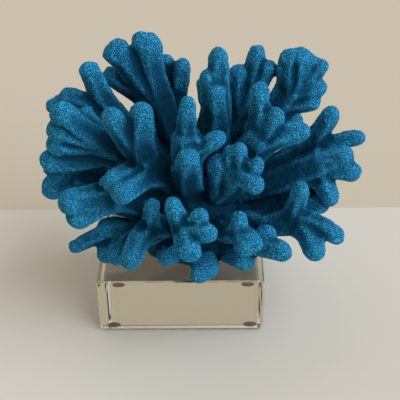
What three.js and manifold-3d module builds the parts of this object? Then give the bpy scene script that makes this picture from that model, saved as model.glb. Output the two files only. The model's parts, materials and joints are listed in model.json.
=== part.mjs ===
// Branching coral on a clear block: a blue coral colony, cut flat under its stump and set on a
// solid clear block with four round pads under its corners.
//
// Millimetres, +Z up, +X to the right and -Y to the front. While it is built, the block stands
// centred on the origin; at the end the whole part is moved so that its box is centred there.

import * as THREE from 'three';
import { mergeVertices } from 'three/addons/utils/BufferGeometryUtils.js';
import Module from 'manifold-3d';

// ---- driving dimensions -------------------------------------------------------------------

const BLOCK_WIDTH = 150;
const BLOCK_DEPTH = 126;
const BLOCK_HEIGHT = 56;
const BLOCK_CHAMFER = 1.2;

const PAD_DIAMETER = 12.7;
const PAD_HEIGHT = 2;
const PAD_INSET = 12;
const PAD_SIDES = 12;

const JOINT_GAP = 0.3;
const MERGE_DISTANCE = 1e-4;

const BLOCK_TOP = PAD_HEIGHT + BLOCK_HEIGHT;
const STUMP_FOOT = BLOCK_TOP + JOINT_GAP;

const STUMP_CENTRE_X = 10;
const STUMP_CENTRE_Y = -3;
// Half of the stump's outline, as radius and height above its cut face.
const STUMP_PROFILE = [[0, 0], [38, 0], [48, 9], [53, 26], [51, 48], [42, 68], [24, 82], [0, 86]];
const STUMP_WIDEST_HEIGHT = 26;
const STUMP_SIDES = 15;
const STUMP_LOBES = 5;
const STUMP_LOBE_DEPTH = 0.07;

// Every main limb has the same girth at its root. A fork swells towards its root, where it is
// never thicker than the limb that bears it.
const MAIN_ROOT_RADIUS = 16;
const ROOT_SWELL = 1.5;
const FORK_SHARE = 0.95;

// The last stretch of a limb rises this many degrees more steeply, up to upright. A limb shorter
// than SHORT_LIMB has two stretches, and a longer one three.
const TIP_CURL = 10;
const UPRIGHT = 90;
const SHORT_LIMB = 64;

const QUARTER_TURN = Math.PI / 2;

// A limb's outline is a regular one that encloses as much as its circle, so its corners stand out.
const LIMB_SIDES = 5;
const SIDE_ANGLE = 2 * Math.PI / LIMB_SIDES;
const CORNER_REACH = Math.sqrt(SIDE_ANGLE / Math.sin(SIDE_ANGLE));

const CORAL_FINISH = { color: 0x1a6f9c, roughness: 0.85, metalness: 0 };
const BLOCK_FINISH = {
  color: 0xd9dcd4, roughness: 0.05, metalness: 0, transparent: true, opacity: 0.35,
};
const PAD_FINISH = { color: 0x8a8468, roughness: 0.7, metalness: 0 };

// ---- how the colony grows -----------------------------------------------------------------

// A limb is [start, heading, rise, length, tip radius, forks]. Headings are degrees
// anticlockwise seen from above, with 0 to the right and 90 to the back, and rises are degrees
// above level. A main limb starts inside the stump, at that many millimetres above the block. A
// fork starts that share of the way along the limb that bears it.
const GROWTH = {
  branch_front_left: [
    [27, 235, 20, 70, 11, [
      [0.8, 290, 65, 38, 7],
      [0.75, 195, -45, 46, 9.5],
      [0.95, 240, -50, 36, 9.5],
    ]],
  ],
  branch_front_low_left: [
    [22, 248, -3, 58, 9.5],
  ],
  branch_left_low: [
    [30, 205, 4, 86, 8, [
      [0.85, 188, -36, 42, 6.5],
      [0.7, 225, -50, 32, 9.5],
      [0.75, 185, 15, 20, 6.5],
    ]],
  ],
  branch_left_front: [
    [38, 212, 25, 90, 14, [
      [0.9, 202, -5, 46, 11],
      [0.9, 208, -30, 40, 11.5],
      [0.95, 230, 65, 25, 4.5],
    ]],
  ],
  branch_left_middle: [
    [44, 182, 15, 108, 12, [
      [0.95, 200, -33, 28, 11.5],
      [0.9, 165, 0, 36, 6.5],
    ]],
  ],
  branch_left_fan: [
    [48, 190, 40, 95, 15, [
      [0.9, 200, 40, 66, 11.5],
      [0.9, 195, 0, 54, 11],
      [0.9, 198, 20, 58, 12],
      [0.9, 185, 50, 46, 8],
      [0.8, 190, -8, 66, 11],
    ]],
  ],
  branch_left_upper: [
    [57, 176, 46, 100, 12, [
      [0.95, 168, 60, 52, 9],
      [1, 170, 5, 46, 7.5, [
        [0.85, 185, -40, 22, 6.5],
      ]],
    ]],
  ],
  branch_centre_left: [
    [50, 218, 50, 85, 15.5, [
      [0.95, 330, 75, 45, 10],
      [0.85, 195, 50, 58, 9],
      [0.6, 225, -2, 55, 9.5],
      [0.6, 240, -10, 55, 10.5],
    ]],
  ],
  branch_top_left: [
    [67, 139, 62, 110, 12.5, [
      [0.9, 145, 82, 32, 12],
      [0.85, 185, 70, 44, 9],
      [0.6, 175, 53, 73, 9, [
        [0.75, 190, 30, 19, 8],
      ]],
      [0.6, 165, 15, 58, 8.5],
    ]],
  ],
  branch_top_back: [
    [67, 115, 55, 95, 9.5, [
      [0.95, 110, 80, 22, 7.5],
      [0.6, 15, 67, 51, 8],
    ]],
  ],
  branch_centre: [
    [54, 268, 48, 75, 12.5, [
      [0.9, 85, 80, 38, 12, [
        [0.9, 50, 80, 31, 6.5],
        [0.3, 0, 20, 36, 7],
      ]],
      [0.85, 275, 45, 35, 9],
    ]],
  ],
  branch_top_centre: [
    [67, 330, 60, 65, 12, [
      [0.9, 210, 77, 48, 8],
      [0.8, 155, 77, 66, 7],
      [0.9, 100, 78, 77, 8],
    ]],
  ],
  branch_top_right: [
    [67, 20, 52, 85, 11, [
      [0.8, 130, 83, 46, 8],
      [0.9, 20, 68, 59, 7.5],
      [0.85, 5, 50, 54, 7.5],
    ]],
  ],
  branch_right_fan: [
    [60, 8, 42, 130, 13, [
      [0.8, 40, 80, 54, 8.5],
      [0.95, 30, 76, 37, 9.5],
      [1, 20, 60, 29, 7.5],
      [1, 5, 35, 31, 7],
      [0.95, 350, 5, 26, 8.5],
      [0.85, 340, 0, 30, 8],
    ]],
  ],
  branch_right_upper: [
    [47, 8, 20, 118, 10, [
      [0.85, 5, 52, 52, 9],
      [0.95, 355, 5, 50, 7],
      [0.8, 60, 65, 28, 8],
      [0.9, 350, 5, 30, 7],
    ]],
  ],
  branch_right_middle: [
    [44, 355, 19, 128, 15, [
      [0.95, 0, 12, 23, 11],
      [0.95, 345, -22, 30, 9.5],
      [0.85, 300, -50, 34, 9],
    ]],
  ],
  branch_right_plate: [
    [54, 335, 45, 105, 14, [
      [0.7, 0, 80, 68, 8],
      [0.95, 350, 60, 28, 7.5],
      [0.9, 0, 0, 38, 9],
    ]],
  ],
  branch_right_low: [
    [36, 335, 6, 114, 11.5, [
      [0.7, 340, 68, 50, 8],
      [0.9, 290, -42, 32, 10],
      [1, 340, -32, 28, 8],
    ]],
  ],
  branch_right_back: [
    [41, 349, 5, 118, 10],
  ],
  branch_front_right: [
    [28, 315, 5, 85, 10.5, [
      [0.9, 325, -2, 32, 9],
      [0.85, 350, 40, 22, 8],
    ]],
  ],
  branch_front_low_right: [
    [26, 308, -4, 76, 11],
  ],
  branch_front_wedge: [
    [34, 300, 15, 85, 10, [
      [0.95, 280, 70, 22, 7],
      [1, 320, -20, 20, 8],
      [1, 290, -35, 18, 8],
    ]],
  ],
  branch_front_centre: [
    [34, 268, 20, 85, 12, [
      [0.9, 150, 55, 32, 7],
      [0.9, 340, 50, 28, 7.5],
      [1, 280, -30, 22, 10],
      [1, 340, 5, 26, 7.5],
    ]],
  ],
  branch_front_low: [
    [20, 282, -3, 70, 9.5, [
      [0.8, 250, -5, 20, 8.5],
    ]],
  ],
  branch_centre_blade: [
    [44, 312, 40, 85, 12, [
      [0.9, 60, 80, 32, 7],
      [0.9, 345, 35, 28, 7.5],
      [0.8, 170, 75, 35, 6.5],
      [0.5, 255, 68, 42, 10],
      [1, 315, -25, 20, 8],
    ]],
  ],
  branch_back_top: [
    [60, 60, 50, 95, 10, [
      [0.7, 40, 60, 32, 8],
      [0.6, 110, 25, 45, 7.5],
    ]],
  ],
  branch_back_left: [
    [42, 150, 25, 105, 11, [
      [0.9, 170, 30, 30, 8],
      [0.85, 125, 10, 38, 7.5],
      [0.7, 140, 55, 38, 8],
    ]],
  ],
  branch_back_centre: [
    [38, 95, 20, 85, 11, [
      [0.8, 75, 45, 32, 8],
      [0.85, 120, 25, 32, 8],
    ]],
  ],
  branch_back_right: [
    [42, 35, 25, 105, 11, [
      [0.85, 15, 15, 38, 7.5],
      [0.8, 60, 20, 38, 7.5],
      [0.75, 45, 35, 36, 8],
    ]],
  ],
};

// ---- shapes -------------------------------------------------------------------------------

const wasm = await Module();
wasm.setup();

function toSolid(geometry) {
  const bare = geometry.clone();
  bare.deleteAttribute('normal');
  bare.deleteAttribute('uv');
  const merged = mergeVertices(bare, MERGE_DISTANCE);
  const vertProperties = new Float32Array(merged.attributes.position.array);
  const triVerts = new Uint32Array(merged.index.array);
  return new wasm.Manifold(new wasm.Mesh({ numProp: 3, vertProperties, triVerts }));
}

function toGeometry(solid) {
  const mesh = solid.getMesh();
  const geometry = new THREE.BufferGeometry();
  geometry.setAttribute('position', new THREE.BufferAttribute(mesh.vertProperties, 3));
  geometry.setIndex(new THREE.BufferAttribute(mesh.triVerts, 1));
  return geometry;
}

function direction(heading, rise) {
  const turn = THREE.MathUtils.degToRad(heading);
  const lift = THREE.MathUtils.degToRad(rise);
  const level = Math.cos(lift);
  return new THREE.Vector3(level * Math.cos(turn), level * Math.sin(turn), Math.sin(lift));
}

// The axis of a limb: it sets off between its bearer's course and its own, and curls up to its tip.
function limbAxis(root, bearerCourse, heading, rise, length) {
  const course = direction(heading, rise);
  const setOff = bearerCourse.clone().add(course).normalize();
  const curl = direction(heading, Math.min(rise + TIP_CURL, UPRIGHT));
  const steps = length < SHORT_LIMB ? [setOff, curl] : [setOff, course, curl];
  const points = [root];
  for (const step of steps) {
    points.push(points.at(-1).clone().addScaledVector(step, length / steps.length));
  }
  return new THREE.CatmullRomCurve3(points, false, 'catmullrom');
}

function readLimb([start, heading, rise, length, tip, forks = []]) {
  return { start, heading, rise, length, tip, forks: forks.map(readLimb) };
}

// Lists a limb and all that forks off it, each as its axis and its radii at root and tip.
function growLimb(limb, root, bearerCourse, base) {
  const axis = limbAxis(root, bearerCourse, limb.heading, limb.rise, limb.length);
  const limbs = [{ axis, base, tip: limb.tip }];
  for (const fork of limb.forks) {
    const room = THREE.MathUtils.lerp(base, limb.tip, fork.start) * FORK_SHARE;
    const forkBase = Math.min(fork.tip * ROOT_SWELL, room);
    const forkRoot = axis.getPoint(fork.start);
    limbs.push(...growLimb(fork, forkRoot, axis.getTangent(fork.start), forkBase));
  }
  return limbs;
}

function growBranch(mainLimbs) {
  return mainLimbs.map(readLimb).flatMap((main) => {
    const root = new THREE.Vector3(STUMP_CENTRE_X, STUMP_CENTRE_Y, BLOCK_TOP + main.start);
    return growLimb(main, root, direction(main.heading, main.rise), MAIN_ROOT_RADIUS);
  });
}

// A limb's body, grown by an amount all round. A capsule standing on +Y is wrapped onto the axis:
// its straight part gives a row for each span, and its ends give the rounded root and tip.
function limbBody({ axis, base, tip }, grow) {
  const rows = axis.points.length - 1;
  const geometry = new THREE.CapsuleGeometry(1, rows, 1, LIMB_SIDES, rows);
  const position = geometry.attributes.position;
  const side = sideways(axis);
  for (let i = 0; i < position.count; i += 1) {
    const height = position.getY(i);
    const along = THREE.MathUtils.clamp(height, -rows / 2, rows / 2);
    const t = (along + rows / 2) / rows;
    const radius = THREE.MathUtils.lerp(base, tip, t) + grow;
    const forward = axis.getTangent(t);
    const across = new THREE.Vector3().crossVectors(forward, side).normalize();
    const outward = new THREE.Vector3().crossVectors(across, forward);
    const place = axis.getPoint(t);
    place.addScaledVector(outward, position.getX(i) * radius * CORNER_REACH);
    place.addScaledVector(across, -position.getZ(i) * radius * CORNER_REACH);
    place.addScaledVector(forward, (height - along) * radius);
    position.setXYZ(i, place.x, place.y, place.z);
  }
  return toSolid(geometry);
}

// The direction least in line with the limb, so that its rows never twist.
function sideways(axis) {
  const chord = axis.getPoint(1).sub(axis.getPoint(0));
  const choices = [[1, 0, 0], [0, 1, 0], [0, 0, 1]].map((xyz) => new THREE.Vector3(...xyz));
  choices.sort((a, b) => Math.abs(a.dot(chord)) - Math.abs(b.dot(chord)));
  return choices[0];
}

function branchBody(limbs, grow) {
  return limbs.map((limb) => limbBody(limb, grow)).reduce((whole, body) => whole.add(body));
}

// A lathe-turned dome whose outline swells in and out round the stump, grown all round: outwards,
// and downwards below its widest height and upwards above it.
function stump(grow) {
  const outline = STUMP_PROFILE.map(([radius, height]) => {
    const out = radius === 0 ? 0 : radius + grow;
    const rise = height + grow * Math.sign(height - STUMP_WIDEST_HEIGHT);
    return new THREE.Vector2(out, rise);
  });
  const geometry = new THREE.LatheGeometry(outline, STUMP_SIDES);
  geometry.rotateX(QUARTER_TURN);
  const position = geometry.attributes.position;
  for (let i = 0; i < position.count; i += 1) {
    const x = position.getX(i);
    const y = position.getY(i);
    const swell = 1 + STUMP_LOBE_DEPTH * Math.cos(STUMP_LOBES * Math.atan2(y, x));
    position.setXYZ(i, x * swell, y * swell, position.getZ(i));
  }
  geometry.translate(STUMP_CENTRE_X, STUMP_CENTRE_Y, STUMP_FOOT);
  return toSolid(geometry);
}

function largestPiece(solid) {
  const pieces = solid.decompose();
  return pieces.reduce((best, piece) => (piece.volume() > best.volume() ? piece : best));
}

function boxesTouch(a, b) {
  const boxA = a.boundingBox();
  const boxB = b.boundingBox();
  const axes = [0, 1, 2];
  return axes.every((i) => boxA.min[i] < boxB.max[i] && boxB.min[i] < boxA.max[i]);
}

// Every branch gives way to the stump and to the branches listed before it, with the gap between.
function coralSolids() {
  const solids = { coral_stump: stump(0) };
  const grown = [stump(JOINT_GAP)];
  for (const [name, mainLimbs] of Object.entries(GROWTH)) {
    const limbs = growBranch(mainLimbs);
    let solid = branchBody(limbs, 0);
    for (const neighbour of grown) {
      if (boxesTouch(solid, neighbour)) {
        solid = solid.subtract(neighbour);
      }
    }
    solids[name] = largestPiece(solid);
    grown.push(branchBody(limbs, JOINT_GAP));
  }
  return solids;
}

// A rectangle extruded with a one-step bevel, so the block's top and bottom edges have a small
// flat all round.
function clearBlock() {
  const halfWidth = BLOCK_WIDTH / 2 - BLOCK_CHAMFER;
  const halfDepth = BLOCK_DEPTH / 2 - BLOCK_CHAMFER;
  const outline = new THREE.Shape([
    new THREE.Vector2(-halfWidth, -halfDepth),
    new THREE.Vector2(halfWidth, -halfDepth),
    new THREE.Vector2(halfWidth, halfDepth),
    new THREE.Vector2(-halfWidth, halfDepth),
  ]);
  const geometry = new THREE.ExtrudeGeometry(outline, {
    depth: BLOCK_HEIGHT - 2 * BLOCK_CHAMFER,
    bevelEnabled: true,
    bevelThickness: BLOCK_CHAMFER,
    bevelSize: BLOCK_CHAMFER,
    bevelSegments: 1,
  });
  geometry.translate(0, 0, PAD_HEIGHT + BLOCK_CHAMFER);
  return toGeometry(toSolid(geometry));
}

function footPad(x, y) {
  const radius = PAD_DIAMETER / 2;
  const height = PAD_HEIGHT - JOINT_GAP;
  const geometry = new THREE.CylinderGeometry(radius, radius, height, PAD_SIDES);
  geometry.rotateX(QUARTER_TURN);
  geometry.translate(x, y, height / 2);
  return toGeometry(toSolid(geometry));
}

// ---- the part -----------------------------------------------------------------------------

const coralMaterial = new THREE.MeshStandardMaterial(CORAL_FINISH);
const blockMaterial = new THREE.MeshStandardMaterial(BLOCK_FINISH);
const padMaterial = new THREE.MeshStandardMaterial(PAD_FINISH);

const part = new THREE.Group();

function addMesh(name, geometry, material) {
  const mesh = new THREE.Mesh(geometry, material);
  mesh.name = name;
  part.add(mesh);
}

addMesh('clear_block', clearBlock(), blockMaterial);

const padX = BLOCK_WIDTH / 2 - PAD_INSET;
const padY = BLOCK_DEPTH / 2 - PAD_INSET;
addMesh('pad_front_left', footPad(-padX, -padY), padMaterial);
addMesh('pad_front_right', footPad(padX, -padY), padMaterial);
addMesh('pad_back_left', footPad(-padX, padY), padMaterial);
addMesh('pad_back_right', footPad(padX, padY), padMaterial);

for (const [name, solid] of Object.entries(coralSolids())) {
  addMesh(name, toGeometry(solid), coralMaterial);
}

const box = new THREE.Box3().setFromObject(part);
const centre = box.getCenter(new THREE.Vector3());
part.position.set(-centre.x, -centre.y, -box.min.z);

export default part;
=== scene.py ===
"""Branching coral on a clear block: the visual model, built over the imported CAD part.

All sizes are in metres and all places in the part's own frame, with +Z up and -Y to the front.
"""

import json
import math

import bmesh
import bpy
import numpy as np
from mathutils import Euler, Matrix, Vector
from mathutils.bvhtree import BVHTree

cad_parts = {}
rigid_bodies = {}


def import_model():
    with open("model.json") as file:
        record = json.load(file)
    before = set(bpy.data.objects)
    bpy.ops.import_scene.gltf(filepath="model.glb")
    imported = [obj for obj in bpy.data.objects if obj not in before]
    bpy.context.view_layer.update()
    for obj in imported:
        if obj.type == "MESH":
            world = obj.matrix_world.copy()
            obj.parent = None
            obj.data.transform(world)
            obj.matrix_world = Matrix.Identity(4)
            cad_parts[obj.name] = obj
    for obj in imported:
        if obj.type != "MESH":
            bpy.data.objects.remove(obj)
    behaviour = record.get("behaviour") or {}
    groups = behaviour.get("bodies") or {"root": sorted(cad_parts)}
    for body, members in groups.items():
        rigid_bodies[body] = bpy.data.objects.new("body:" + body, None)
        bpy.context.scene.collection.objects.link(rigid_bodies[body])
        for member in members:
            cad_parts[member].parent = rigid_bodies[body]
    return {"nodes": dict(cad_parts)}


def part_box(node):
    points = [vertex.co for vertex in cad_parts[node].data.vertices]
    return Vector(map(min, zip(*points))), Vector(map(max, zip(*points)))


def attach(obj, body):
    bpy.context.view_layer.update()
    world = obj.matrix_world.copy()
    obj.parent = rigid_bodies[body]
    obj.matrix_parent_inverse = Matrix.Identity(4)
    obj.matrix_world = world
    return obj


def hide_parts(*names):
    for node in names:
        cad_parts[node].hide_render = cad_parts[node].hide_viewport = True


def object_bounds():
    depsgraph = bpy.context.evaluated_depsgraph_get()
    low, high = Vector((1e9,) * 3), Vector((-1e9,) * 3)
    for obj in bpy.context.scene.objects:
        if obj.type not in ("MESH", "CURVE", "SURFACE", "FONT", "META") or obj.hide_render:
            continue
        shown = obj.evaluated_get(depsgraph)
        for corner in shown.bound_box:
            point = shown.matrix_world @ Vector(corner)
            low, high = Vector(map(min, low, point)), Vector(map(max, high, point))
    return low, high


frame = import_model()
CAD_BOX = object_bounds()

bl_info = {
    "name": "Branching coral on a clear block",
    "version": (1, 0, 0),
    "blender": (4, 5, 0),
    "location": "3D View > Sidebar > Coral",
    "description": "Builds a blue branching coral on its clear block",
    "category": "Add Mesh",
}

MM = 0.001
STUMP_NODE = "coral_stump"
BLOCK_NODE = "clear_block"
CORAL_NODES = sorted(n for n in frame["nodes"] if n == STUMP_NODE or n.startswith("branch_"))
PAD_NODES = sorted(n for n in frame["nodes"] if n.startswith("pad_"))

# A CAD limb has five flat sides, and a cone on its end whose point stands one limb radius beyond
# the last ring of corners. A corner reaches this many radii out from the limb's axis.
LIMB_SIDES = 5
SIDE_ANGLE = 2 * math.pi / LIMB_SIDES
CORNER_REACH = math.sqrt(SIDE_ANGLE / math.sin(SIDE_ANGLE))
CONE_EDGE = math.hypot(1, CORNER_REACH)
CONE_ANGLE = LIMB_SIDES * 2 * math.asin(CORNER_REACH * math.sin(SIDE_ANGLE / 2) / CONE_EDGE)
CONE_TOLERANCE = 0.04

# The CAD branches stand a small gap apart. Swelling each one by this much closes the gaps.
GAP_SWELLING = 0.2 * MM
# The first skin is smoothed well, to lose the limbs' flat sides and grow them together. The second
# has a finer grid, by this factor, which holds the pores.
FIRST_SMOOTHING = 9
SECOND_SMOOTHING = 5
FINER_GRID = 1.75
# A groove is what lies lower than the skin does after this many passes of blurring.
GROOVE_PASSES = 50
# The skin stays this far inside the CAD part's box.
BOX_MARGIN = 0.05 * MM

# The look of a tip is full out to the first distance from the middle of the limb's round end, and
# gone at the second, both in limb radii.
TIP_NEAR = 1
TIP_FAR = 5

# The width of a swelling on a limb and on the stump.
LIMB_LUMP_WIDTH = 15 * MM
STUMP_LUMP_WIDTH = 20 * MM
# The stump's swellings are full out to the first share of its radius and gone at the second, and
# full up to the first height over its top and gone at the second.
STUMP_SIDE_FADE = (1.1, 1.4)
STUMP_TOP_FADE = (-10 * MM, 5 * MM)
# All swellings fade as the skin turns to face down, which is 0 sideways and -1 straight down.
UNDERSIDE_FADE = (-0.1, -0.6)
# A noise runs from 0 to 1, but seldom leaves this middle stretch.
NOISE_LOW = 0.3
NOISE_HIGH = 0.7

# Pore walls: how far the pores stray from an even grid, and how near a cell's edge, in pore
# spacings, the wall begins and is full. The whole grid drifts by this many spacings over this many.
PORE_STRAYING = 0.85
WALL_START = 0.16
WALL_FULL = 0.06
DRIFT_REACH = 2
DRIFT_LENGTH = 6

# The CAD pads stop just short of the block. Here their tops reach this far into it, so that they
# show through it as pads that are stuck to it do.
CONTACT_DEPTH = 0.2 * MM


# ---- helpers ------------------------------------------------------------------------------------


def linear(code):
    """An sRGB hex colour as linear red, green and blue."""
    shares = [int(code[i : i + 2], 16) / 255 for i in (1, 3, 5)]
    return tuple(c / 12.92 if c <= 0.04045 else ((c + 0.055) / 1.055) ** 2.4 for c in shares)


def rgba(colour):
    return (*colour, 1.0)


def add_node(tree, kind, inputs=None, **settings):
    """Adds a node, sets its properties, and gives each input a value or a link."""
    node = tree.nodes.new(kind)
    for name, value in settings.items():
        setattr(node, name, value)
    for socket, value in (inputs or {}).items():
        if isinstance(value, bpy.types.NodeSocket):
            tree.links.new(value, node.inputs[socket])
        else:
            node.inputs[socket].default_value = value
    return node


def new_material(name):
    """A material with its node tree emptied, and its output node."""
    material = bpy.data.materials.new(name)
    material.use_nodes = True
    material.node_tree.nodes.clear()
    return material, add_node(material.node_tree, "ShaderNodeOutputMaterial")


def select_only(*objects):
    bpy.ops.object.select_all(action="DESELECT")
    for obj in objects:
        obj.select_set(True)
    bpy.context.view_layer.objects.active = objects[0]


def add_modifier(obj, kind, **settings):
    """Adds a modifier to the object and applies it at once."""
    modifier = obj.modifiers.new(kind.title(), kind)
    for name, value in settings.items():
        setattr(modifier, name, value)
    select_only(obj)
    bpy.ops.object.modifier_apply(modifier=modifier.name)


def copy_of_nodes(names, new_name):
    """One new object with copies of these CAD nodes' meshes, each closed up."""
    select_only(*[frame["nodes"][name] for name in names])
    bpy.ops.object.duplicate()
    bpy.ops.object.parent_clear(type="CLEAR_KEEP_TRANSFORM")
    bpy.ops.object.join()
    copy = bpy.context.view_layer.objects.active
    copy.name = new_name
    for key in list(copy.keys()):
        del copy[key]
    copy.data.materials.clear()
    bpy.ops.object.mode_set(mode="EDIT")
    bpy.ops.mesh.select_all(action="SELECT")
    bpy.ops.mesh.customdata_custom_splitnormals_clear()
    bpy.ops.mesh.remove_doubles(threshold=0.001 * MM)
    bpy.ops.object.mode_set(mode="OBJECT")
    return copy


# ---- sizes and colours that a user would change -------------------------------------------------


class CoralSettings(bpy.types.PropertyGroup):
    """Sizes and colours of the coral colony"""

    skin_grid: bpy.props.FloatProperty(
        name="Skin grid",
        description="Grid on which the branches are grown together into one skin",
        default=1.4 * MM,
        min=1 * MM,
        unit="LENGTH",
    )
    pore_spacing: bpy.props.FloatProperty(
        name="Pore spacing",
        description="Distance from one pore to the next",
        default=1.7 * MM,
        min=0.5 * MM,
        unit="LENGTH",
    )
    pore_depth: bpy.props.FloatProperty(
        name="Pore depth",
        description="How far a pore is sunk into the skin",
        default=0.45 * MM,
        min=0.0,
        unit="LENGTH",
    )
    lump_height: bpy.props.FloatProperty(
        name="Lump height",
        description="How far the skin swells in and out along a limb",
        default=2.2 * MM,
        min=0.0,
        unit="LENGTH",
    )
    stump_lump_height: bpy.props.FloatProperty(
        name="Stump lump height",
        description="How far the stump's side swells in and out",
        default=6 * MM,
        min=0.0,
        unit="LENGTH",
    )
    groove_depth: bpy.props.FloatProperty(
        name="Groove depth",
        description="How many times deeper the grooves between limbs are cut",
        default=1.2,
        min=0.0,
    )
    tip_colour: bpy.props.FloatVectorProperty(
        name="Tip colour",
        description="The raised network round the pores, near the tips",
        subtype="COLOR",
        default=linear("#31a0d4"),
        min=0.0,
        max=1.0,
    )
    limb_colour: bpy.props.FloatVectorProperty(
        name="Limb colour",
        description="The raised network round the pores, along the limbs",
        subtype="COLOR",
        default=linear("#034b6a"),
        min=0.0,
        max=1.0,
    )
    # Painted shade: this colour darkens the smoother skin between the branches and in the grooves.
    deep_shade_colour: bpy.props.FloatVectorProperty(
        name="Deep shade colour",
        description="The smoother skin deep between the branches",
        subtype="COLOR",
        default=linear("#02374f"),
        min=0.0,
        max=1.0,
    )
    # Painted shade: this colour darkens the floor of each pore.
    pore_shade_colour: bpy.props.FloatVectorProperty(
        name="Pore shade colour",
        description="The floor of the pores",
        subtype="COLOR",
        default=linear("#012842"),
        min=0.0,
        max=1.0,
    )


class BlockSettings(bpy.types.PropertyGroup):
    """Sizes and colours of the clear block"""

    edge_width: bpy.props.FloatProperty(
        name="Polished edge",
        description="Width of the small polished bevel along every edge",
        default=1.3 * MM,
        min=0.1 * MM,
        unit="LENGTH",
    )
    tint: bpy.props.FloatVectorProperty(
        name="Tint",
        description="Colour of what is seen through the block",
        subtype="COLOR",
        default=linear("#f6f7f2"),
        min=0.0,
        max=1.0,
    )


class PadSettings(bpy.types.PropertyGroup):
    """Sizes and colours of the round pads"""

    rounding: bpy.props.FloatProperty(
        name="Rounded rim",
        description="Width of the rounded rim under each pad",
        default=0.5 * MM,
        min=0.05 * MM,
        unit="LENGTH",
    )
    colour: bpy.props.FloatVectorProperty(
        name="Colour",
        description="Colour of the pads",
        subtype="COLOR",
        default=linear("#b0a882"),
        min=0.0,
        max=1.0,
    )


class StageSettings(bpy.types.PropertyGroup):
    """Floor, backdrop, lights and camera"""

    floor_colour: bpy.props.FloatVectorProperty(
        name="Floor colour",
        description="Colour of the table top",
        subtype="COLOR",
        default=linear("#d8d4cb"),
        min=0.0,
        max=1.0,
    )
    backdrop_colour: bpy.props.FloatVectorProperty(
        name="Backdrop colour",
        description="Colour of the board beyond the table top's back edge",
        subtype="COLOR",
        default=linear("#cdc3b1"),
        min=0.0,
        max=1.0,
    )
    room_colour: bpy.props.FloatVectorProperty(
        name="Room colour",
        description="Colour of the soft light that comes from all round",
        subtype="COLOR",
        default=linear("#b1a48d"),
        min=0.0,
        max=1.0,
    )
    focal_length: bpy.props.FloatProperty(
        name="Focal length",
        description="Focal length of the camera on a 36 mm sensor",
        default=92,
        min=1.0,
        unit="CAMERA",
    )


# ---- materials ----------------------------------------------------------------------------------

# What opens and lightens the coral's network: nearness to a tip, height on a ridge and blotches.
# A ridge gets painted light and a groove painted shade. The ridge's share is full at this height
# over the smoothed skin, and as far below it the groove's is. Their sum is taken as closed at the
# lower value and as wide open at the upper one.
RIDGE_HEIGHT = 0.7 * MM
RIDGE_PAINTED_LIGHT = 0.2
GROOVE_PAINTED_SHADE = 0.5
TIP_WEIGHT = 0.8
BLOTCH_WEIGHT = 0.6
CLOSED_AT = 0.1
OPEN_AT = 1.3

# How open the network is, from 0 to 1, where it has each of its colours. The deep colour is
# painted shade between the limbs and in the grooves.
DEEP_SHADE_AT = 0.1
LIMB_AT = 0.45
TIP_AT = 0.9
# How open it is where the pores' painted shade is faint and where it is dark, and how much of
# the pore colour, a painted shade, they then have.
FAINT_PORE_SHADE_AT = 0.1
DARK_PORE_SHADE_AT = 0.8
FAINT_PORE_SHADE = 0.3
DARK_PORE_SHADE = 0.9

# The width of a blotch and of a grain. The skeleton's own grain is finer, and is drawn this coarse
# so that it shows.
BLOTCH_WIDTH = 24 * MM
GRAIN_WIDTH = 0.6 * MM
# The fine relief in the shading, and how high a grain stands in it beside a pore's wall.
RELIEF_HEIGHT = 0.35 * MM
RELIEF_STRENGTH = 0.6
GRAIN_SHARE = 0.35


def pore_walls(tree, place, spacing):
    """0 in the middle of a pore and 1 on the raised wall round it, the same in mesh and material.

    The place drifts a little from pore to pore, so that the pores stand in no straight rows.
    """
    drift = add_node(
        tree, "ShaderNodeTexNoise", {"Vector": place, "Scale": 1 / (DRIFT_LENGTH * spacing)}
    ).outputs["Color"]
    drifted = add_node(
        tree,
        "ShaderNodeVectorMath",
        {0: drift, 1: 3 * [DRIFT_REACH * spacing], 2: place},
        operation="MULTIPLY_ADD",
    ).outputs["Vector"]
    cells = add_node(
        tree,
        "ShaderNodeTexVoronoi",
        {"Vector": drifted, "Scale": 1 / spacing, "Randomness": PORE_STRAYING},
        feature="DISTANCE_TO_EDGE",
    )
    return add_node(
        tree,
        "ShaderNodeMapRange",
        {"Value": cells.outputs["Distance"], "From Min": WALL_START, "From Max": WALL_FULL},
        interpolation_type="SMOOTHSTEP",
    ).outputs["Result"]


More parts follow.
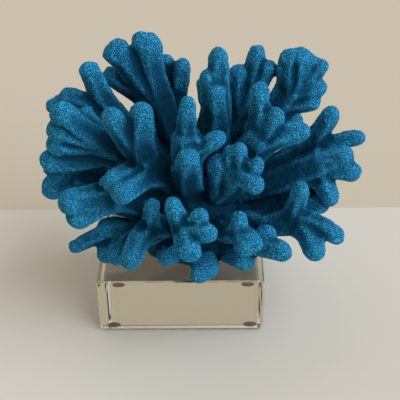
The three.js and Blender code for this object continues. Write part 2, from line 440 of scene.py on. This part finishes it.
def coral_material(settings):
    """Coral skeleton, grown: matt, with a pale raised network round pores darkened with painted
    shade.

    The eye gets a bright sandy network on the tips and a smoother, deeper blue between the limbs,
    which is painted shade. How bright and open the network is grows towards a tip, grows on a ridge
    as painted light, falls in a groove as painted shade, and wanders in blotches.
    """
    material, output = new_material("coral_skeleton_grown_pored")
    tree = material.node_tree
    place = add_node(tree, "ShaderNodeAttribute", attribute_name="skin_place").outputs["Vector"]
    walls = pore_walls(tree, place, settings.pore_spacing)
    reach = add_node(tree, "ShaderNodeAttribute", attribute_name="tip_reach").outputs["Fac"]
    ridge = add_node(tree, "ShaderNodeAttribute", attribute_name="ridge").outputs["Fac"]
    # Painted light on a ridge and painted shade in a groove, from the ridge's height.
    raised = add_node(
        tree,
        "ShaderNodeMapRange",
        {
            "Value": ridge,
            "From Min": -RIDGE_HEIGHT,
            "From Max": RIDGE_HEIGHT,
            "To Min": -GROOVE_PAINTED_SHADE,
            "To Max": RIDGE_PAINTED_LIGHT,
        },
    ).outputs["Result"]
    blotches = add_node(
        tree,
        "ShaderNodeTexNoise",
        {"Vector": place, "Scale": 1 / BLOTCH_WIDTH, "Detail": 3.0},
    ).outputs["Fac"]
    lit_and_shaded_reach = add_node(
        tree, "ShaderNodeMath", {0: reach, 1: TIP_WEIGHT, 2: raised}, operation="MULTIPLY_ADD"
    ).outputs["Value"]
    blotchy_reach = add_node(
        tree,
        "ShaderNodeMath",
        {0: blotches, 1: BLOTCH_WEIGHT, 2: lit_and_shaded_reach},
        operation="MULTIPLY_ADD",
    ).outputs["Value"]
    openness_and_light = add_node(
        tree,
        "ShaderNodeMapRange",
        {"Value": blotchy_reach, "From Min": CLOSED_AT, "From Max": OPEN_AT},
    ).outputs["Result"]
    # The network runs from the deep colour, a painted shade between the limbs, through the limb
    # colour to the tip colour.
    network = add_node(tree, "ShaderNodeValToRGB", {"Fac": openness_and_light})
    ramp = network.color_ramp
    ramp.elements[0].position = DEEP_SHADE_AT
    ramp.elements[0].color = rgba(settings.deep_shade_colour)
    ramp.elements[1].position = TIP_AT
    ramp.elements[1].color = rgba(settings.tip_colour)
    ramp.elements.new(LIMB_AT).color = rgba(settings.limb_colour)
    # How strongly the pores are darkened with their painted shade, more where the network is open.
    pored = add_node(
        tree,
        "ShaderNodeMapRange",
        {
            "Value": openness_and_light,
            "From Min": FAINT_PORE_SHADE_AT,
            "From Max": DARK_PORE_SHADE_AT,
            "To Min": FAINT_PORE_SHADE,
            "To Max": DARK_PORE_SHADE,
        },
        interpolation_type="SMOOTHSTEP",
    ).outputs["Result"]
    sunk = add_node(
        tree, "ShaderNodeMath", {0: 1.0, 1: walls}, operation="SUBTRACT"
    ).outputs["Value"]
    pore_shade_share = add_node(
        tree, "ShaderNodeMath", {0: sunk, 1: pored}, operation="MULTIPLY"
    ).outputs["Value"]
    colour = add_node(
        tree,
        "ShaderNodeMix",
        {0: pore_shade_share, 6: network.outputs["Color"], 7: rgba(settings.pore_shade_colour)},
        data_type="RGBA",
    ).outputs[2]
    grain = add_node(
        tree, "ShaderNodeTexNoise", {"Vector": place, "Scale": 1 / GRAIN_WIDTH, "Detail": 2.0}
    ).outputs["Fac"]
    relief = add_node(
        tree, "ShaderNodeMath", {0: grain, 1: GRAIN_SHARE, 2: walls}, operation="MULTIPLY_ADD"
    ).outputs["Value"]
    normal = add_node(
        tree,
        "ShaderNodeBump",
        {"Height": relief, "Strength": RELIEF_STRENGTH, "Distance": RELIEF_HEIGHT},
    ).outputs["Normal"]
    surface = add_node(
        tree,
        "ShaderNodeBsdfPrincipled",
        {
            "Base Color": colour,
            "Roughness": 0.9,
            "IOR": 1.5,
            "Specular IOR Level": 0.12,
            "Normal": normal,
        },
    )
    tree.links.new(surface.outputs["BSDF"], output.inputs["Surface"])
    return material


def block_material(settings):
    """Clear acrylic, cast and polished: bends light as acrylic does and has mirror-smooth faces."""
    material, output = new_material("acrylic_cast_polished")
    tree = material.node_tree
    surface = add_node(
        tree,
        "ShaderNodeBsdfPrincipled",
        {
            "Base Color": rgba(settings.tint),
            "Roughness": 0.0,
            "IOR": 1.49,
            "Transmission Weight": 1.0,
        },
    )
    tree.links.new(surface.outputs["BSDF"], output.inputs["Surface"])
    return material


def pad_material(settings):
    """Soft rubber bumper pads, moulded: dull olive with a fine mottle."""
    material, output = new_material("rubber_moulded_pad")
    tree = material.node_tree
    place = add_node(tree, "ShaderNodeTexCoord").outputs["Object"]
    mottle = add_node(
        tree, "ShaderNodeTexNoise", {"Vector": place, "Scale": 1 / (2 * MM), "Detail": 2.0}
    ).outputs["Fac"]
    colours = add_node(tree, "ShaderNodeValToRGB", {"Fac": mottle})
    colours.color_ramp.elements[0].position = 0.3
    colours.color_ramp.elements[0].color = rgba([0.8 * c for c in settings.colour])
    colours.color_ramp.elements[1].position = 0.7
    colours.color_ramp.elements[1].color = rgba(settings.colour)
    surface = add_node(
        tree,
        "ShaderNodeBsdfPrincipled",
        {"Base Color": colours.outputs["Color"], "Roughness": 0.6, "IOR": 1.5},
    )
    tree.links.new(surface.outputs["BSDF"], output.inputs["Surface"])
    return material


def stage_material(name, colour):
    """Painted board, rolled: plain, pale and matt."""
    material, output = new_material(name)
    tree = material.node_tree
    surface = add_node(
        tree, "ShaderNodeBsdfPrincipled", {"Base Color": rgba(colour), "Roughness": 0.6}
    )
    tree.links.new(surface.outputs["BSDF"], output.inputs["Surface"])
    return material


# ---- the coral colony ---------------------------------------------------------------------------


def cone_tips(mesh):
    """(middle of the last ring, limb radius) for every limb end whose cone's point is in the open.

    The angles round a cone's point add up to the same however its faces are cut further down, and
    the longest edge from it runs to a corner of the last ring.
    """
    work = bmesh.new()
    work.from_mesh(mesh)
    tips = []
    for point in work.verts:
        whole = sum(corner.calc_angle() for corner in point.link_loops)
        if abs(whole - CONE_ANGLE) > CONE_TOLERANCE:
            continue
        leaning = [corner.face.normal * corner.calc_angle() for corner in point.link_loops]
        ahead = sum(leaning, Vector()).normalized()
        edges = [edge.other_vert(point).co - point.co for edge in point.link_edges]
        longest = max(edges, key=lambda edge: edge.length)
        if abs(longest.normalized().dot(ahead) + 1 / CONE_EDGE) < CONE_TOLERANCE:
            radius = longest.length / CONE_EDGE
            tips.append((point.co - ahead * radius, radius))
    work.free()
    return tips


def add_round_ends(colony, tips):
    """A ball on the end of every limb, in place of its cone."""
    select_only(colony)
    bpy.ops.object.mode_set(mode="EDIT")
    for middle, radius in tips:
        bpy.ops.mesh.primitive_ico_sphere_add(subdivisions=3, radius=radius, location=middle)
    bpy.ops.object.mode_set(mode="OBJECT")


def geometry_tree(name):
    """An empty geometry node group and its geometry input."""
    tree = bpy.data.node_groups.new(name, "GeometryNodeTree")
    tree.interface.new_socket("Geometry", in_out="INPUT", socket_type="NodeSocketGeometry")
    tree.interface.new_socket("Geometry", in_out="OUTPUT", socket_type="NodeSocketGeometry")
    return tree, add_node(tree, "NodeGroupInput").outputs["Geometry"]


def pushed_out(tree, skin, height):
    """The skin with each point moved along its normal by this height, but never out of the box."""
    place = add_node(tree, "GeometryNodeInputPosition").outputs["Position"]
    outward = add_node(tree, "GeometryNodeInputNormal").outputs["Normal"]
    shift = add_node(
        tree, "ShaderNodeVectorMath", {0: outward, "Scale": height}, operation="SCALE"
    ).outputs["Vector"]
    place = add_node(
        tree, "ShaderNodeVectorMath", {0: place, 1: shift}, operation="ADD"
    ).outputs["Vector"]
    low, high = CAD_BOX
    for operation, corner, inward in [("MAXIMUM", low, BOX_MARGIN), ("MINIMUM", high, -BOX_MARGIN)]:
        wall = [side + inward for side in corner]
        place = add_node(
            tree, "ShaderNodeVectorMath", {0: place, 1: wall}, operation=operation
        ).outputs["Vector"]
    moved = add_node(tree, "GeometryNodeSetPosition", {"Geometry": skin, "Position": place})
    return moved.outputs["Geometry"]


def stored(tree, skin, name, kind, value):
    """The skin with a value of this kind kept at each point under a name."""
    node = add_node(
        tree,
        "GeometryNodeStoreNamedAttribute",
        {"Geometry": skin, "Name": name},
        data_type=kind,
        domain="POINT",
    )
    tree.links.new(value, node.inputs["Value"])
    return node.outputs["Geometry"]


def faded(tree, value, start, end):
    """1 where the value is at the start of this range, falling smoothly to 0 at its end."""
    return add_node(
        tree,
        "ShaderNodeMapRange",
        {"Value": value, "From Min": start, "From Max": end, "To Min": 1.0, "To Max": 0.0},
        interpolation_type="SMOOTHSTEP",
    ).outputs["Result"]


def stump_share(tree, place):
    """1 on the stump, falling to 0 above it and away from it."""
    low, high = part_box(STUMP_NODE)
    middle = (low + high) / 2
    radius = (high.x - low.x) / 2
    level = add_node(
        tree, "ShaderNodeVectorMath", {0: place, 1: (1, 1, 0)}, operation="MULTIPLY"
    ).outputs["Vector"]
    away = add_node(
        tree, "ShaderNodeVectorMath", {0: level, 1: (middle.x, middle.y, 0)}, operation="DISTANCE"
    ).outputs["Value"]
    rise = add_node(tree, "ShaderNodeSeparateXYZ", {"Vector": place}).outputs["Z"]
    near = faded(tree, away, *[share * radius for share in STUMP_SIDE_FADE])
    below = faded(tree, rise, *[high.z + offset for offset in STUMP_TOP_FADE])
    return add_node(
        tree, "ShaderNodeMath", {0: near, 1: below}, operation="MULTIPLY"
    ).outputs["Value"]


def noise_height(tree, place, across, height):
    """A smooth noise with swellings this far across, from half the height down to half up."""
    noise = add_node(
        tree,
        "ShaderNodeTexNoise",
        {"Vector": place, "Scale": 1 / across, "Detail": 2.0, "Roughness": 0.6},
    ).outputs["Fac"]
    return add_node(
        tree,
        "ShaderNodeMapRange",
        {
            "Value": noise,
            "From Min": NOISE_LOW,
            "From Max": NOISE_HIGH,
            "To Min": -0.5 * height,
            "To Max": 0.5 * height,
        },
    ).outputs["Result"]


def lumps_tree(settings):
    """Geometry nodes that swell the skin into lumps and deepen the grooves between limbs.

    A point's height over the smoothed skin round it is positive on a ridge and negative in a
    groove. It is kept as the attribute "ridge". The lumps fade where the skin faces down, so that
    the stump stays flat underneath.
    """
    tree, skin = geometry_tree("coral_lumps")
    place = add_node(tree, "GeometryNodeInputPosition").outputs["Position"]
    outward = add_node(tree, "GeometryNodeInputNormal").outputs["Normal"]
    around = add_node(tree, "GeometryNodeBlurAttribute", data_type="FLOAT_VECTOR")
    tree.links.new(place, around.inputs["Value"])
    around.inputs["Iterations"].default_value = GROOVE_PASSES
    away = add_node(
        tree, "ShaderNodeVectorMath", {0: place, 1: around.outputs["Value"]}, operation="SUBTRACT"
    ).outputs["Vector"]
    ridge = add_node(
        tree, "ShaderNodeVectorMath", {0: away, 1: outward}, operation="DOT_PRODUCT"
    ).outputs["Value"]
    groove = add_node(
        tree, "ShaderNodeMath", {0: ridge, 1: 0.0}, operation="MINIMUM"
    ).outputs["Value"]
    limb_lumps = noise_height(tree, place, LIMB_LUMP_WIDTH, settings.lump_height)
    stump_lumps = noise_height(tree, place, STUMP_LUMP_WIDTH, settings.stump_lump_height)
    lumps = add_node(
        tree,
        "ShaderNodeMath",
        {0: stump_share(tree, place), 1: stump_lumps, 2: limb_lumps},
        operation="MULTIPLY_ADD",
    ).outputs["Value"]
    facing_up = add_node(tree, "ShaderNodeSeparateXYZ", {"Vector": outward}).outputs["Z"]
    off_underside = faded(tree, facing_up, *UNDERSIDE_FADE)
    swell = add_node(
        tree, "ShaderNodeMath", {0: lumps, 1: off_underside}, operation="MULTIPLY"
    ).outputs["Value"]
    height = add_node(
        tree,
        "ShaderNodeMath",
        {0: groove, 1: settings.groove_depth, 2: swell},
        operation="MULTIPLY_ADD",
    ).outputs["Value"]
    skin = stored(tree, skin, "ridge", "FLOAT", ridge)
    add_node(tree, "NodeGroupOutput", {"Geometry": pushed_out(tree, skin, height)})
    return tree


def pores_tree(settings):
    """Geometry nodes that sink the pores. "skin_place" keeps where the skin was before that."""
    tree, skin = geometry_tree("coral_pores")
    place = add_node(tree, "GeometryNodeInputPosition").outputs["Position"]
    walls = pore_walls(tree, place, settings.pore_spacing)
    height = add_node(
        tree,
        "ShaderNodeMapRange",
        {"Value": walls, "To Min": -settings.pore_depth, "To Max": 0.0},
    ).outputs["Result"]
    skin = stored(tree, skin, "skin_place", "FLOAT_VECTOR", place)
    add_node(tree, "NodeGroupOutput", {"Geometry": pushed_out(tree, skin, height)})
    return tree


def coordinates(mesh):
    places = np.empty(len(mesh.vertices) * 3, np.float32)
    mesh.vertices.foreach_get("co", places)
    return places.reshape(-1, 3)


def mark_tip_reach(mesh, tips):
    """Stores how near each point is to a tip, from 1 on the tip to 0 far away from it."""
    places = coordinates(mesh)
    reach = np.zeros(len(places), np.float32)
    for middle, radius in tips:
        away = np.linalg.norm(places - np.array(middle, np.float32), axis=1) / radius
        nearness = (TIP_FAR - away) / (TIP_FAR - TIP_NEAR)
        reach = np.maximum(reach, np.clip(nearness, 0, 1))
    attribute = mesh.attributes.new("tip_reach", "FLOAT", "POINT")
    attribute.data.foreach_set("value", reach)


def nearest_nodes(mesh, names):
    """For each face, the number of the CAD node whose surface is nearest to it."""
    corners, triangles, owners = [], [], []
    for number, name in enumerate(names):
        node_mesh = frame["nodes"][name].data
        start = len(corners)
        corners.extend(vertex.co for vertex in node_mesh.vertices)
        node_mesh.calc_loop_triangles()
        for triangle in node_mesh.loop_triangles:
            triangles.append([start + i for i in triangle.vertices])
            owners.append(number)
    tree = BVHTree.FromPolygons(corners, triangles)
    return [owners[tree.find_nearest(face.center)[2]] for face in mesh.polygons]


def split_by_node(colony, names, material):
    """Cuts the skin apart where it passes from one CAD node to the next, and closes each piece."""
    for number in range(len(names)):
        colony.data.materials.append(bpy.data.materials.new(f"part_{number}"))
    colony.data.polygons.foreach_set("material_index", nearest_nodes(colony.data, names))
    select_only(colony)
    bpy.ops.object.mode_set(mode="EDIT")
    bpy.ops.mesh.select_all(action="SELECT")
    bpy.ops.mesh.separate(type="MATERIAL")
    bpy.ops.object.mode_set(mode="OBJECT")
    for part in list(bpy.context.selected_objects):
        number = int(part.data.materials[0].name.removeprefix("part_").split(".")[0])
        part.name = f"skin_{names[number]}"
        part.data.materials.clear()
        part.data.materials.append(material)
        close_cut(part)
        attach(part, "root")
        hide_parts(names[number])
    for slot in [m for m in bpy.data.materials if m.name.startswith("part_")]:
        bpy.data.materials.remove(slot)


def close_cut(part):
    """Caps the cut with a fan of triangles, sharp at its rim so that the skin's shading runs on."""
    select_only(part)
    bpy.ops.object.mode_set(mode="EDIT")
    bpy.ops.mesh.select_mode(type="EDGE")
    bpy.ops.mesh.select_all(action="DESELECT")
    bpy.ops.mesh.select_non_manifold(extend=False, use_wire=False, use_multi_face=False)
    bpy.ops.mesh.mark_sharp()
    bpy.ops.mesh.select_mode(type="FACE")
    bpy.ops.mesh.select_all(action="SELECT")
    bpy.ops.mesh.fill_holes(sides=0)
    bpy.ops.mesh.select_all(action="DESELECT")
    bpy.ops.object.mode_set(mode="OBJECT")
    # The skin's own faces have at most four corners, so one with more is a cap.
    for face in part.data.polygons:
        face.select = len(face.vertices) > 4
        face.use_smooth = True
    bpy.ops.object.mode_set(mode="EDIT")
    bpy.ops.mesh.poke()
    bpy.ops.mesh.select_all(action="SELECT")
    bpy.ops.mesh.normals_make_consistent(inside=False)
    bpy.ops.mesh.select_all(action="DESELECT")
    bpy.ops.object.mode_set(mode="OBJECT")


class CORAL_OT_colony(bpy.types.Operator):
    """Grow the coral's pored skin over the colony's branches"""

    bl_idname = "coral.colony"
    bl_label = "Coral colony"

    def execute(self, context):
        settings = context.scene.coral_settings
        colony = copy_of_nodes(CORAL_NODES, "colony")
        tips = cone_tips(colony.data)
        add_round_ends(colony, tips)
        grids = [
            (settings.skin_grid, FIRST_SMOOTHING),
            (settings.skin_grid / FINER_GRID, SECOND_SMOOTHING),
        ]
        add_modifier(colony, "DISPLACE", strength=GAP_SWELLING, mid_level=0.0)
        for grid, passes in grids:
            add_modifier(colony, "REMESH", mode="VOXEL", voxel_size=grid)
            add_modifier(colony, "SMOOTH", factor=0.5, iterations=passes)
        mark_tip_reach(colony.data, tips)
        add_modifier(colony, "NODES", node_group=lumps_tree(settings))
        add_modifier(colony, "NODES", node_group=pores_tree(settings))
        split_by_node(colony, CORAL_NODES, coral_material(settings))
        return {"FINISHED"}


# ---- the clear block and its pads ---------------------------------------------------------------


class CORAL_OT_block(bpy.types.Operator):
    """Model the clear block with a small polished bevel along every edge"""

    bl_idname = "coral.block"
    bl_label = "Clear block"

    def execute(self, context):
        settings = context.scene.block_settings
        low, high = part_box(BLOCK_NODE)
        bpy.ops.object.select_all(action="DESELECT")
        bpy.ops.mesh.primitive_cube_add(size=1, location=(low + high) / 2, scale=high - low)
        block = context.view_layer.objects.active
        block.name = "block"
        bpy.ops.object.transform_apply(location=True, rotation=True, scale=True)
        bpy.ops.object.mode_set(mode="EDIT")
        bpy.ops.mesh.select_all(action="SELECT")
        bpy.ops.mesh.bevel(offset=settings.edge_width, segments=1, affect="EDGES")
        bpy.ops.mesh.select_all(action="DESELECT")
        bpy.ops.object.mode_set(mode="OBJECT")
        block.data.materials.append(block_material(settings))
        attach(block, "root")
        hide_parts(BLOCK_NODE)
        return {"FINISHED"}


class CORAL_OT_pads(bpy.types.Operator):
    """Model the four round pads under the block's corners"""

    bl_idname = "coral.pads"
    bl_label = "Pads"

    def execute(self, context):
        settings = context.scene.pad_settings
        material = pad_material(settings)
        for name in PAD_NODES:
            low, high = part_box(name)
            high.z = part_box(BLOCK_NODE)[0].z + CONTACT_DEPTH
            middle = (low + high) / 2
            bpy.ops.object.select_all(action="DESELECT")
            bpy.ops.mesh.primitive_cylinder_add(
                vertices=48,
                radius=(high.x - low.x) / 2,
                depth=high.z - low.z,
                location=middle,
            )
            pad = context.view_layer.objects.active
            pad.name = f"round_{name}"
            bpy.ops.object.transform_apply(location=True, rotation=True, scale=True)
            for edge in pad.data.edges:
                ends = [pad.data.vertices[i].co.z for i in edge.vertices]
                edge.select = max(ends) < middle.z
            bpy.ops.object.mode_set(mode="EDIT")
            bpy.ops.mesh.select_mode(type="EDGE")
            bpy.ops.mesh.bevel(offset=settings.rounding, segments=3, affect="EDGES")
            bpy.ops.mesh.select_all(action="DESELECT")
            bpy.ops.object.mode_set(mode="OBJECT")
            bpy.ops.object.shade_smooth_by_angle(angle=math.radians(40))
            pad.data.materials.append(material)
            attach(pad, "root")
            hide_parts(name)
        return {"FINISHED"}


# ---- the stage ----------------------------------------------------------------------------------

# The camera stands this far to the right of the block's middle, in front of it and above the
# floor. It looks down by this many degrees, turned a little to the left and rolled a little.
CAMERA_RIGHT = 30 * MM
CAMERA_FORWARD = 778 * MM
CAMERA_HEIGHT = 628 * MM
CAMERA_DOWN = 34
CAMERA_TURN = 0.9
CAMERA_ROLL = 0.9

# The colour of daylight from a window, which is cooler than the room's.
DAYLIGHT = (0.8, 0.88, 1.0)

# The table top ends this far behind the block's middle, and the backdrop lies a little lower.
TABLE_BACK = 136 * MM
TABLE_SPAN = 4.0
BACKDROP_DROP = 4 * MM


def add_board(name, low, high, height, material):
    """A flat board whose top is at this height."""
    bpy.ops.object.select_all(action="DESELECT")
    middle = ((low[0] + high[0]) / 2, (low[1] + high[1]) / 2, height)
    span = (high[0] - low[0], high[1] - low[1], 1)
    bpy.ops.mesh.primitive_plane_add(size=1, location=middle)
    board = bpy.context.view_layer.objects.active
    board.scale = span
    bpy.ops.object.transform_apply(location=True, rotation=True, scale=True)
    board.name = name
    board.data.materials.append(material)


def add_far_light(name, place, spread, strength):
    """A far, broad light that shines from that place towards the origin, this many degrees wide.

    Its glare isn't seen inside the clear block.
    """
    bpy.ops.object.light_add(type="SUN", location=place)
    light = bpy.context.view_layer.objects.active
    light.name = name
    light.rotation_euler = Vector(place).to_track_quat("Z", "Y").to_euler()
    light.data.angle = math.radians(spread)
    light.data.energy = strength
    light.data.color = DAYLIGHT
    light.visible_transmission = False


class CORAL_OT_stage(bpy.types.Operator):
    """Set up the floor, the soft lights and the camera"""

    bl_idname = "coral.stage"
    bl_label = "Stage"

    def execute(self, context):
        settings = context.scene.stage_settings
        low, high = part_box(BLOCK_NODE)
        middle = (low + high) / 2
        foot = Vector((middle.x, middle.y, 0))
        table_edge = middle.y + TABLE_BACK
        far = TABLE_SPAN / 2
        table = stage_material("table_top_painted", settings.floor_colour)
        backdrop = stage_material("backdrop_board_painted", settings.backdrop_colour)
        add_board("table_top", (-far, -far), (far, table_edge), 0.0, table)
        add_board("backdrop", (-far, table_edge), (far, far), -BACKDROP_DROP, backdrop)

        world = bpy.data.worlds.new("soft_room")
        world.use_nodes = True
        background = world.node_tree.nodes["Background"]
        background.inputs["Color"].default_value = rgba(settings.room_colour)
        background.inputs["Strength"].default_value = 1.0
        context.scene.world = world

        add_far_light("window", place=(3, -1.3, 2.4), spread=70, strength=3.0)
        add_far_light("fill", place=(-2, 3, 2), spread=90, strength=0.6)

        data = bpy.data.cameras.new("camera")
        data.lens = settings.focal_length
        data.sensor_width = 36
        camera = bpy.data.objects.new("camera", data)
        context.scene.collection.objects.link(camera)
        camera.location = foot + Vector((CAMERA_RIGHT, -CAMERA_FORWARD, CAMERA_HEIGHT))
        tilt = Euler((math.radians(90 - CAMERA_DOWN), 0, math.radians(CAMERA_TURN)))
        roll = Euler((0, 0, -math.radians(CAMERA_ROLL)))
        camera.rotation_euler = (tilt.to_matrix() @ roll.to_matrix()).to_euler()
        context.scene.camera = camera
        context.scene.view_settings.view_transform = "Standard"
        return {"FINISHED"}


# ---- the add-on ---------------------------------------------------------------------------------


class CORAL_PT_panel(bpy.types.Panel):
    """Lists what can be built, with its sizes and colours"""

    bl_label = "Coral"
    bl_idname = "CORAL_PT_panel"
    bl_space_type = "VIEW_3D"
    bl_region_type = "UI"
    bl_category = "Coral"

    def draw(self, context):
        groups = [
            (CORAL_OT_colony, context.scene.coral_settings),
            (CORAL_OT_block, context.scene.block_settings),
            (CORAL_OT_pads, context.scene.pad_settings),
            (CORAL_OT_stage, context.scene.stage_settings),
        ]
        for operator, settings in groups:
            column = self.layout.box().column()
            for name in settings.__annotations__:
                column.prop(settings, name)
            column.operator(operator.bl_idname)


SETTINGS = {
    "coral_settings": CoralSettings,
    "block_settings": BlockSettings,
    "pad_settings": PadSettings,
    "stage_settings": StageSettings,
}
OPERATORS = [CORAL_OT_colony, CORAL_OT_block, CORAL_OT_pads, CORAL_OT_stage]


def register():
    for name, group in SETTINGS.items():
        bpy.utils.register_class(group)
        setattr(bpy.types.Scene, name, bpy.props.PointerProperty(type=group))
    for cls in [*OPERATORS, CORAL_PT_panel]:
        bpy.utils.register_class(cls)


def unregister():
    for cls in [CORAL_PT_panel, *reversed(OPERATORS)]:
        bpy.utils.unregister_class(cls)
    for name, group in reversed(SETTINGS.items()):
        delattr(bpy.types.Scene, name)
        bpy.utils.unregister_class(group)


def main():
    register()
    bpy.ops.coral.colony()
    bpy.ops.coral.block()
    bpy.ops.coral.pads()
    bpy.ops.coral.stage()


if __name__ == "__main__":
    main()
